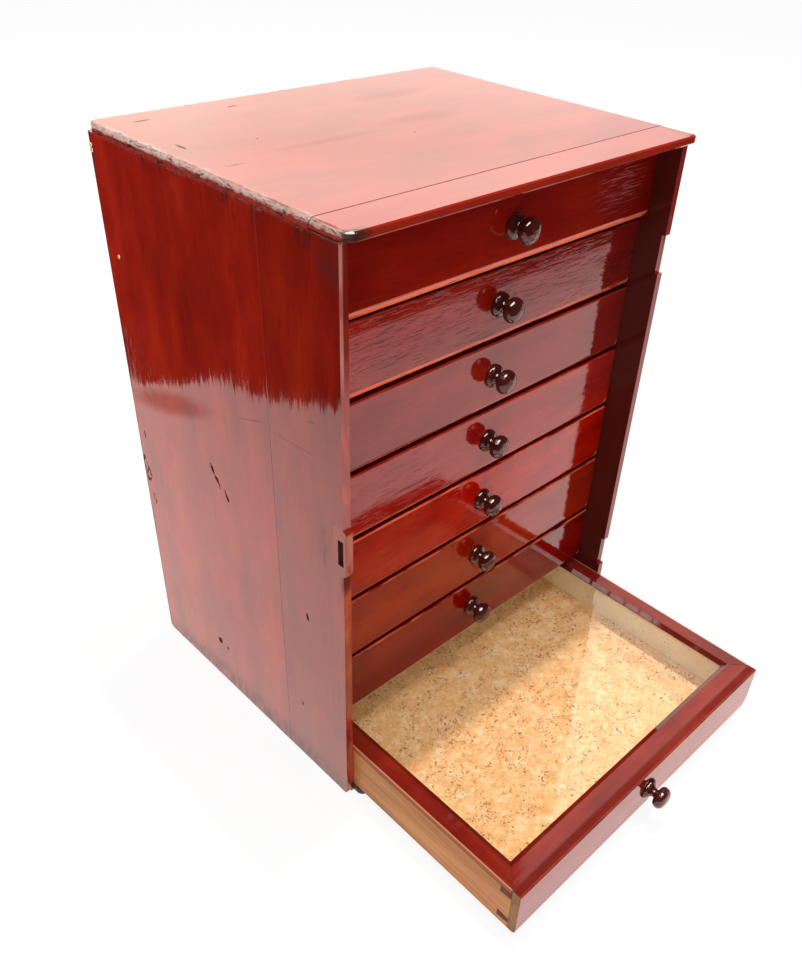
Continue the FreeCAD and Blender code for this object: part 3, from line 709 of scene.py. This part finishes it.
def top_wear(whole, places, colour):
    """Everything that shows on the top."""
    x, y, z = places
    bare, black = rubbed_arris(whole, sums("ADD", x, SIDE_X), 0.005, "Y")
    right, right_black = rubbed_arris(whole, minus(SIDE_X, x), 0.0012, "Y")
    rear, rear_black = rubbed_arris(whole, minus(REAR_Y, y), 0.0014, "X")
    rub = either(bare, right, rear)
    under = red_under_arris(whole, x, z)
    nicks = gathered(whole, NICKS)
    smears = gathered(whole, SMEARS, soft=1.4)
    right_dirt = gathered(whole, RIGHT_DIRT, soft=1.2)
    corner = gathered(whole, BLACK_CORNER, soft=0.8)
    scales = noise(stretched(whole, "Y", 0.5, (0.2, 0, 0)), 420, 4, 0.7)
    flakes = share(bare, remap(scales, 0.5, 0.58), 0.45)
    nose = share(facing(whole, 1), remap(y, FRONT_Y - 0.004, FRONT_Y - 0.006))
    low_arris = share(nose, remap(z, SIDE_TOP_Z + 0.0014, SIDE_TOP_Z + 0.0006))
    patchy = remap(noise(stretched(whole, "X", 0.3), 160, 3), 0.4, 0.6)
    joint = near(y, STRIP_JOINT_Y, 0.0003, 0.00045)
    dark_marks = either(black, right_black, rear_black, nicks, flakes)
    colour = painted(
        colour,
        (smears, 0.3, (0.2, 0.03, 0.02)),
        (rub, 0.6, RUBBED),
        (bare, 0.7, BLEACHED),
        (under, 0.9, SIDE_STAIN),
        (right_dirt, 0.55, (0.3, 0.2, 0.16)),
        (nose, 0.6, (0.25, 0.02, 0.01)),
        # painted highlight: a pale line along the lower arris of the strip's nose
        (share(low_arris, patchy), 0.6, (0.46, 0.2, 0.16)),
        (either(dark_marks, corner), 0.88, NEAR_BLACK),
        (joint, 0.85, (0.11, 0.01, 0.008)))
    dull = share(either(share(rub, 0.1), share(dark_marks, 0.8), joint, share(smears, 0.12), under,
                        share(right_dirt, 0.45)), 0.85)
    pits = share(corner, noise(whole, 520, 3), 0.9)
    return colour, dull, either(share(black, 0.4), nicks, joint, pits)


TOP_STAIN = (0.34, 0.014, 0.0055)
for node, name, shift in (("top_board", "top_varnish", (0, 0.23, 0.11)),
                          ("top_front_strip", "strip_varnish", (0.4, 0.8, 0.5))):
    dress(node, varnished(name, "X", TOP_STAIN, shift, top_wear, 0.35, 0.6, 0.02, 0.12))
print("top dressed")

# %% [markdown]
# ## Keep block and bottom board
#
# The keep block once held the door's bolt, in a small mortise; its inside is painted dark as
# shade. The bottom board shows only by its lip, which is down to dirty bare wood. Masks by height
# and depth find both places, so neither board needs to be cut up.

# %% Keep block and bottom board
KEEP_FRONT_Y = -136.2 * MM
KEEP_SLOT_Y, KEEP_SLOT_Z = -130.5 * MM, 252 * MM
SLOT_HALF_WIDE, SLOT_HALF_HIGH, SLOT_SOFT = 4.5 * MM, 14 * MM, 0.3 * MM


def keep_wear(whole, places, colour):
    """Painted shade in the bolt's mortise, and a rubbed front arris."""
    x, y, z = places
    slot = share(near(y, KEEP_SLOT_Y, SLOT_HALF_WIDE, SLOT_SOFT),
                 near(z, KEEP_SLOT_Z, SLOT_HALF_HIGH, SLOT_SOFT))
    shaded_slot = share(remap(x, 0.0003 - SIDE_X, 0.0007 - SIDE_X), slot)
    bare, black = rubbed_arris(whole, sums("ADD", y, -KEEP_FRONT_Y), 0.0008, "Z")
    # painted shade: the inside of the mortise darkened
    colour = painted(colour, (shaded_slot, 0.9, (0.075, 0.03, 0.022)),
                     (bare, 0.35, (0.5, 0.12, 0.07)))
    return colour, share(shaded_slot, 0.6), black


def base_wear(whole, places, colour):
    """The lip in front, gone to dirty wood."""
    lip = remap(places[1], FRONT_Y + 0.001, FRONT_Y - 0.001)
    dirt = noise(whole, 240, 4)
    worn = mixed(remap(dirt, 0.4, 0.6), (0.04, 0.022, 0.012), (0.115, 0.065, 0.034))
    return painted(colour, (lip, 0.85, worn)), share(lip, 0.7), dirt


dress("lock_keep_block", varnished("keep_varnish", "Z", (0.27, 0.015, 0.007), (0.1, 0.3, 0.2),
                                   keep_wear, 0.8))
dress("bottom_board", varnished("bottom_varnish", "X", scaled(SIDE_STAIN, 0.6),
                                (0.7, 0.3, 0.9), base_wear, 0.8))
print("carcass dressed")

# %% [markdown]
# ## Drawer fronts
#
# All eight fronts are stained alike but did not take the stain alike: the lower ones came out
# browner, and the second is the roughest, its varnish lying in ripples over the open grain. The
# ends of a front are end grain, which the painter left bare, and they are dark from handling.
# One material with a mask on the surface's direction does for faces and ends together. The
# lower arrises are rounded by wear, and painted orange to a height of each front's own: a painted
# highlight for the light that the rounding catches.

# %% How the fronts differ
FRONT_STAINS = {1: (0.2, 0.0045, 0.002), 2: (0.23, 0.007, 0.0035), 3: (0.21, 0.007, 0.0045),
                4: (0.28, 0.008, 0.0045), 5: (0.31, 0.003, 0.0005), 6: (0.24, 0.008, 0.0015),
                7: (0.18, 0.002, 0.0005), 8: (0.2, 0.014, 0.009)}
RIPPLES = {2: 1.2, 4: 1.2}
PORES = {1: 0.3, 2: 0.85, 3: 0.35, 4: 0.55, 5: 0.6}
LOWER_ARRIS_MM = {1: 7.2, 2: 5.4, 3: 3.2, 4: 3.5, 5: 3.5, 6: 3.3, 7: 3, 8: 3}
LOWER_ARRIS = {1: 1, 2: 0.65, 3: 0.45, 4: 0.65, 5: 0.65, 6: 0.5, 7: 0.3, 8: 0.2}
UPPER_ARRIS = {5: 0.9, 6: 0.6, 7: 0.7}
ORANGE = (0.88, 0.16, 0.072)
LAP_THICK = 7 * MM
print("lower arrises rubbed up to", max(LOWER_ARRIS_MM.values()), "mm")


# %% Fronts
def end_grain(whole, from_face):
    """Bare end grain: pale in the lap before the dovetails, and browner behind it."""
    tone = noise(stretched(whole, "Z", 0.4), 300, 4)
    brown = mixed(tone, (0.06, 0.022, 0.012), (0.22, 0.09, 0.045))
    pale = mixed(tone, (0.13, 0.055, 0.025), (0.52, 0.27, 0.13))
    return mixed(remap(from_face, LAP_THICK + 0.0008, LAP_THICK - 0.0002), brown, pale)


def front_wear(number):
    """The wear of one drawer's front."""
    low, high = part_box("drawer_%d_front" % number)
    orange_highlight_top = low.z + LOWER_ARRIS_MM[number] * MM

    def wear(whole, places, colour):
        x, y, z = places
        from_face = minus(y, low.y)
        ends = remap(facing(whole, 0), 0.6, 0.9)
        on_top = share(remap(facing(whole, 2), 0.6, 0.9), remap(from_face, 0.0012, 0.002))
        patchy = noise(stretched(whole, "X", 0.15), 260, 3)
        upper = share(remap(from_face, 0.0018, 0.0008),
                      remap(z, high.z - 0.0014, high.z - 0.0004), remap(patchy, 0.38, 0.58))
        lower = share(remap(z, orange_highlight_top, orange_highlight_top - 0.0014), remap(from_face, 0.006, 0.004),
                      remap(patchy, 0.3, 0.46), LOWER_ARRIS[number])
        worn = spot(whole, (high.x - 0.001, low.y, low.z + 0.003), (0.003,) * 3, 0.8)
        # painted shade: the top of each front but the last, seen only through the gap above it,
        # made nearly black
        if number < 8:
            colour = painted(colour, (on_top, 0.85, (0.06, 0.0035, 0.0025)))
        # painted highlight over wear: the rounded lower arris painted orange
        colour = mixed(lower, colour, ORANGE)
        # painted highlight: an orange line along the upper arris, strongest on fronts 5 to 7
        colour = painted(colour, (upper, UPPER_ARRIS.get(number, 0.15), ORANGE))
        if number == 1:
            colour = ripple_highlights(whole, low.y, colour)
        colour = painted(colour, (worn, 0.7, (0.42, 0.25, 0.17)))
        colour = mixed(ends, colour, end_grain(whole, from_face))
        dull = share(either(ends, worn, on_top, share(lower, 0.7)), 0.85)
        if number in (5, 6, 7):
            dull = either(dull, remap(x, 0.07, -0.03, 0, 0.42))
        elif number == 8:
            dull = either(dull, 0.14)
        elif number == 2:
            brighter = remap(x, -0.03, -0.12)
            colour = mixed(brighter, colour, (1.35, 1.35, 1.35), "MULTIPLY")
        if number < 4:
            shadow = remap(x, 0.07, 0.15)
            colour = mixed(shadow, colour, (0.72, 0.75, 0.8), "MULTIPLY")
        return colour, dull, share(worn, 0.5)
    return wear


def ripple_highlights(whole, face_y, colour):
    """Painted highlights at the right of the first front: pale dashes for light on brush ripples.
    """
    streaks = noise(stretched(whole, "X", 0.05, (0.7, 0, 0.3)), 1300, 2)
    patch = spot(whole, (0.116, face_y, 0.436), (0.024, 0.005, 0.016), 0.2, 1.5)
    dashes = share(patch, remap(streaks, 0.5, 0.7))
    return painted(colour, (dashes, 0.32, (0.6, 0.3, 0.28)))


for number in DRAWERS:
    dress("drawer_%d_front" % number, varnished(
        "front_%d_varnish" % number, "X", FRONT_STAINS[number],
        (0.37 * number, 0, 0.29 * number), front_wear(number), 0.9 if number == 5 else 0.6,
        RIPPLES.get(number, 0.8), 0.1, PORES.get(number, 0.25)))
print("dressed", len(FRONT_STAINS), "fronts")

# %% [markdown]
# ## Lid frames
#
# Each lid is a frame of four members mitred at the corners, so its grain turns the corner with
# it. The frame is one CAD piece, and the mask that tells its side members from its end members
# compares the distances to the nearest side and to the nearest end: they are equal exactly along
# the mitres, where a thin dark line marks the joint.

# %% Lids
LID_WIDE = 17 * MM
LID_STAIN = (0.195, 0.0125, 0.0075)
LID_BRUSH_DEPTH = 0.02 * MM


def lid_finish(number):
    """The finish of one drawer's lid frame."""
    low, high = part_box("drawer_%d_lid" % number)
    material, tree = new_finish("lid_%d_varnish" % number)
    whole, x, y, z = coordinates(tree)
    middle_y = (low.y + high.y) / 2
    side = minus(high.x, sums("ABSOLUTE", x))
    end = minus((high.y - low.y) / 2, sums("ABSOLUTE", minus(y, middle_y)))
    along_side = sums("LESS_THAN", side, end)
    mitre = near(minus(side, end), 0, 0.00015, 0.0003)
    edge = share(remap(facing(whole, 2), 0.8, 0.5), remap(side, 0.002, 0.001))
    arris = share(remap(side, 0.001, 0.0006), remap(z, high.z - 0.001, high.z - 0.0005))
    by_glass = remap(sums("MINIMUM", side, end), LID_WIDE - 0.0044, LID_WIDE - 0.0034)
    seam = near(end, 0.0006, 0.0003, 0.0003)
    under = near(z, low.z, 0.0004, 0.0004)

    shift = (0.21 * number, 0, 0.4)
    crossways = stained(whole, "X", LID_STAIN, shift, 0.7)[0]
    lengthways = stained(whole, "Y", LID_STAIN, shift, 0.7)[0]
    crossways = mixed(1, crossways, (1.25, 1.15, 1.1), "MULTIPLY")
    colour = painted(
        mixed(along_side, crossways, lengthways),
        (mitre, 0.8, NEAR_BLACK),
        (edge, 0.85, (0.4, 0.13, 0.045)),
        # painted highlight: a bright salmon line along the outer top arris
        (arris, 0.75, (0.74, 0.3, 0.17)),
        # painted shade: the bevel beside the glass darkened
        (by_glass, 0.45, (0.055, 0.006, 0.005)),
        (seam, 0.7, NEAR_BLACK),
        (under, 0.8, NEAR_BLACK))
    ridges = add("Mix", {0: along_side, 2: brush_ridges(whole, "X", shift),
                         3: brush_ridges(whole, "Y", shift)}).outputs[0]
    skin = relief(mitre, DENT_DEPTH, relief(ridges, LID_BRUSH_DEPTH), inwards=True)
    varnish(colour, minus(1, share(edge, 0.8)), skin)
    return material


for number in DRAWERS:
    dress("drawer_%d_lid" % number, lid_finish(number))
print("dressed", len(DRAWERS), "lids")

# %% [markdown]
# ## Bare wood
#
# Inside, nothing was stained. The drawer sides, the runners and the back are softwood gone
# brown with age. An image of planks would do, but it repeats, and two noises drawn out along
# the grain don't. A drawer's back has its grain across, so where y is past the back's face the
# grain of the box turns.

# %% Bare wood
WOOD_PALE, WOOD, WOOD_BROWN = (0.62, 0.27, 0.075), (0.49, 0.19, 0.045), (0.33, 0.115, 0.026)
DRAWER_BACK = 6 * MM


def bare_wood(name, grain, shift, darker=1, rear_y=None):
    """Softwood with its grain along an axis, or across where y is past rear_y."""
    material, tree = new_finish(name)
    whole, _, y, _ = coordinates(tree)

    def tone(axis):
        fine = noise(stretched(whole, axis, 0.035, shift), 420, 4, 0.62)
        broad = noise(stretched(whole, axis, 0.08, shift), 70, 3)
        return sums("MULTIPLY_ADD", broad, 0.55, share(fine, 0.45))

    value = tone(grain)
    if rear_y is not None:
        behind = sums("GREATER_THAN", y, rear_y)
        value = add("Mix", {0: behind, 2: value, 3: tone("X")}).outputs[0]
    colour = ramp(value, (0.33, scaled(WOOD_BROWN, darker)), (0.49, scaled(WOOD, darker)),
                  (0.66, scaled(WOOD_PALE, darker)))
    show(add("BsdfPrincipled", {
        "Base Color": colour, "Roughness": remap(value, 0.3, 0.7, 0.62, 0.5),
        "Specular IOR Level": 0.25, "Normal": relief(value, 0.00025),
        "Coat Weight": 0.12, "Coat Roughness": 0.25}))
    return material


dress("back_panel", bare_wood("back_wood", "Z", (0.2, 0.3, 0), 0.6))
for place, node in enumerate(("left_runners", "right_runners", "top_kickers")):
    dress(node, bare_wood(node + "_wood", "Y", (0.3 * place, 0, 0.5), 0.7))
for number in DRAWERS:
    low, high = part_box("drawer_%d_box" % number)
    shift = (0.1 * number, 0, 0.4 * number)
    dress("drawer_%d_box" % number,
          bare_wood("box_%d_wood" % number, "Y", shift, 1, high.y - DRAWER_BACK))
print("drawer boxes", round((high.y - low.y) / MM, 1), "mm deep")

# %% [markdown]
# ## Cork and glass
#
# The cork is a sheet of pressed granules, so its pattern starts from a Voronoi texture: cells of
# a few millimetres, each with its own tone. Dark bark specks come from a second, finer one, and
# short dashes lie among them. The glass lets lamp light pass to the cork: light bent through a
# pane is slow to work out, so rays that only ask for light see the pane as clear.

# %% Cork
def cells(vector, scale, channel):
    """Cells of one tone each, of which a colour channel (0, 1 or 2) is used."""
    colour = add("TexVoronoi", {"Vector": vector, "Scale": scale}).outputs["Color"]
    return add("SeparateXYZ", {"Vector": colour}).outputs[channel]


def cork_sheet(name, shift):
    """Pressed cork, with specks and dashes of bark in clusters."""
    material, tree = new_finish(name)
    moved = add("Mapping", {"Vector": whole_place(tree), "Location": shift}).outputs[0]
    sway = add("TexNoise", {"Vector": moved, "Scale": 260, "Detail": 2}).outputs["Color"]
    sway = add("VectorMath", {0: sway, 1: (0.006,) * 3}, operation="MULTIPLY").outputs[0]
    bent = add("VectorMath", {0: moved, 1: sway}, operation="ADD").outputs[0]
    cloud = noise(moved, 70, 6, 0.72)
    value = sums("MULTIPLY_ADD", cells(bent, 330, 0), 0.16, share(cloud, 0.84))
    colour = ramp(value, (0.34, (0.8, 0.43, 0.165)), (0.5, (0.92, 0.555, 0.24)),
                  (0.68, (0.97, 0.76, 0.44)))
    cluster = remap(noise(moved, 60, 4), 0.43, 0.55)
    specks = share(remap(cells(bent, 700, 1), 0.9, 0.94), cluster)
    lying = noise(stretched(moved, "X", 0.45), 620, 3, 0.5, 1.2)
    standing = noise(stretched(moved, "Y", 0.45), 560, 3, 0.5, 1.2)
    dashes = share(either(remap(lying, 0.61, 0.67), remap(standing, 0.62, 0.68)), cluster)
    colour = painted(colour, (either(specks, dashes), 0.85, (0.3, 0.105, 0.025)))
    show(add("BsdfPrincipled", {
        "Base Color": colour, "Roughness": 0.85, "Specular IOR Level": 0.2,
        "Normal": relief(value, 0.0005)}))
    return material


# %% Window glass
def pane():
    """Old glass, faintly wavy, that stops no light."""
    material, tree = new_finish("window_glass")
    path = add("LightPath", tree=tree)
    wavy = noise(whole_place(tree), 9, 1)
    glass = add("BsdfPrincipled", {
        "Base Color": (1, 1, 1, 1), "Roughness": 0, "IOR": 1.5,
        "Transmission Weight": 1, "Normal": relief(wavy, 0.0002)})
    clear = add("BsdfTransparent", {"Color": (1, 1, 1, 1)}, tree)
    passing = either(path.outputs["Is Shadow Ray"], path.outputs["Is Diffuse Ray"])
    show(add("MixShader", {0: passing, 1: glass.outputs[0], 2: clear.outputs[0]}))
    return material


window_glass = pane()
for number in DRAWERS:
    shift = (0.13 * number, 0.29 * number, 0)
    dress("drawer_%d_cork" % number, cork_sheet("cork_%d" % number, shift))
    dress("drawer_%d_glass" % number, window_glass)
print("corked and glazed", len(DRAWERS), "drawers")

# %% [markdown]
# ## Paper lining
#
# Above the cork, the drawer's walls are lined with thin cream paper, foxed with age. It could
# be draped like cloth, but it is glued flat, so the rim of a plain rectangle is drawn up and
# given the paper's thickness.

# %% Paper lining
PAPER_THICK = 0.25 * MM
OVER_CORK = 0.05 * MM
BELOW_LID = 0.1 * MM


def aged_paper():
    """Cream paper with small brown spots."""
    material, tree = new_finish("aged_paper")
    whole = whole_place(tree)
    cloud = noise(whole, 45, 4)
    spots = remap(noise(whole, 420, 2), 0.66, 0.72)
    colour = ramp(cloud, (0.35, (0.9, 0.77, 0.5)), (0.65, (0.97, 0.88, 0.63)))
    show(add("BsdfPrincipled", {
        "Base Color": painted(colour, (spots, 0.6, (0.16, 0.1, 0.05))),
        "Roughness": 0.8, "Specular IOR Level": 0.3, "Normal": relief(cloud, 0.0003)}))
    return material


lining_paper = aged_paper()
for number in DRAWERS:
    low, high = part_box("drawer_%d_cork" % number)
    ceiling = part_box("drawer_%d_lid" % number)[0].z
    middle = (low + high) / 2
    bm = bmesh.new()
    bmesh.ops.create_grid(bm, x_segments=1, y_segments=1, size=0.5)
    bmesh.ops.scale(bm, vec=(high.x - low.x, high.y - low.y, 1), verts=bm.verts)
    bmesh.ops.translate(bm, vec=(middle.x, middle.y, high.z + OVER_CORK), verts=bm.verts)
    rim = list(bm.edges)
    bmesh.ops.delete(bm, geom=list(bm.faces), context="FACES_ONLY")
    walls = bmesh.ops.extrude_edge_only(bm, edges=rim)["geom"]
    risen = [item for item in walls if isinstance(item, bmesh.types.BMVert)]
    rise = ceiling - high.z - OVER_CORK - BELOW_LID
    bmesh.ops.translate(bm, vec=(0, 0, rise), verts=risen)
    bmesh.ops.recalc_face_normals(bm, faces=bm.faces)
    bmesh.ops.solidify(bm, geom=list(bm.faces), thickness=PAPER_THICK)
    lining = object_from(bm, "drawer_%d_paper" % number, lining_paper)
    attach(lining, "drawer_%d" % number)
print("paper walls", round(rise / MM, 1), "mm high in the last drawer")

# %% [markdown]
# ## Turned knobs and brass pins
#
# Each knob was turned on a lathe in one piece: a domed foot, a waisted neck, a flattened ball
# and, out of sight, the dowel that is glued into the front. A lathe is what Spin does, so the
# half outline is drawn once, from the end of the dowel to the tip of the ball, and spun round
# the drawer's own direction. Heights count from the front's face. The pins are made on the same
# lathe, only far smaller: they show as bright dots where they were driven in.

# %% Turning on the lathe
def turned(name, outline, place, direction, steps, material):
    """A solid of revolution whose outline is a list of (radius, height) in mm."""
    bm = bmesh.new()
    verts = [bm.verts.new((radius * MM, 0, height * MM)) for radius, height in outline]
    profile = [bm.edges.new(pair) for pair in zip(verts, verts[1:])]
    bmesh.ops.spin(bm, geom=verts + profile, axis=(0, 0, 1), cent=(0, 0, 0), angle=math.tau,
                   steps=steps, use_merge=True)
    bmesh.ops.remove_doubles(bm, verts=bm.verts, dist=0.00001)
    bmesh.ops.recalc_face_normals(bm, faces=bm.faces)
    for face in bm.faces:
        face.smooth = True
    turn = Vector((0, 0, 1)).rotation_difference(Vector(direction)).to_matrix().to_4x4()
    bmesh.ops.transform(bm, matrix=Matrix.Translation(place) @ turn, verts=bm.verts)
    return object_from(bm, name, material)


# %% Knobs
KNOB_OUTLINE = [(0, -10), (3, -10), (3, -0.05), (8.6, 0), (9, 0.4), (9, 1.2), (8.6, 2.1),
                (7.7, 2.9), (6.5, 3.5), (5.3, 3.9), (4.5, 4.4), (3.9, 5.2), (3.6, 6.2),
                (3.6, 7), (3.9, 7.7), (4.8, 8.2), (6.3, 8.5), (7.8, 9.1), (8.8, 10.2),
                (9.2, 11.6), (9.2, 13), (8.8, 14.4), (7.9, 15.7), (6.4, 16.8), (4.5, 17.4),
                (2.3, 17.75), (0, 17.8)]
KNOB_LENGTH = KNOB_OUTLINE[-1][1] * MM
KNOB_STAIN = (0.06, 0.009, 0.0065)
KNOB_STEPS = 56


def knob_wear(whole, places, colour):
    """Redder and duller where fingers hold it."""
    handled = remap(noise(whole, 90, 4), 0.52, 0.68)
    colour = painted(colour, (handled, 0.3, (0.16, 0.024, 0.011)))
    return colour, share(handled, 0.12), handled


for number in DRAWERS:
    low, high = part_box("drawer_%d_knob" % number)
    place = Vector(((low.x + high.x) / 2, low.y + KNOB_LENGTH, (low.z + high.z) / 2))
    finish = varnished("knob_%d_varnish" % number, "Y", KNOB_STAIN,
                       (0.3 * number, 0.1, 0.2 * number), knob_wear, 0.5, 0.5, comb=0)
    knob = turned("turned_knob_%d" % number, KNOB_OUTLINE, place, (0, -1, 0), KNOB_STEPS, finish)
    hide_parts("drawer_%d_knob" % number)
    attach(knob, "drawer_%d" % number)
print("turned", number, "knobs of", len(KNOB_OUTLINE), "outline points")

# %% Pins and nails
PIN_OUTLINE = [(0, -0.6), (0.9, -0.6), (1.5, -0.1), (1.45, 0.2), (1.1, 0.5), (0.5, 0.65), (0, 0.7)]
PIN_STEPS = 16
BACK_NAIL_X = 157.5


def pin_metal(name, bright, tarnish):
    """Metal that is bright in places and tarnished in others."""
    material, tree = new_finish(name)
    age = remap(noise(whole_place(tree), 900, 3), 0.45, 0.65)
    show(add("BsdfPrincipled", {
        "Base Color": mixed(age, bright, tarnish), "Metallic": 0.85,
        "Roughness": remap(age, 0, 1, 0.45, 0.6), "Normal": relief(age, 0.00008)}))
    return material


brass = pin_metal("brass", (0.98, 0.86, 0.44), (0.8, 0.6, 0.24))
iron = pin_metal("iron", (0.16, 0.12, 0.1), (0.09, 0.045, 0.03))
pins = [("side_pin", brass, (side * SIDE_X, y * MM, z * MM), (side, 0, 0))
        for side in (-1, 1) for y, z in ((115.9, 378.2), (130.4, 453.5), (130.4, 449.8))]
nail_places = [(side * BACK_NAIL_X, z) for side in (-1, 1) for z in (22, 120, 225, 330, 435)]
nail_places += [(x, 12) for x in (-105, -35, 35, 105)]
pins += [("back_nail", iron, (x * MM, REAR_Y, z * MM), (0, 1, 0)) for x, z in nail_places]
for place, (name, metal, head, way) in enumerate(pins):
    pin = turned("%s_%d" % (name, place), PIN_OUTLINE, head, way, PIN_STEPS, metal)
    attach(pin, "carcass")
print(len(pins), "pins and nails")
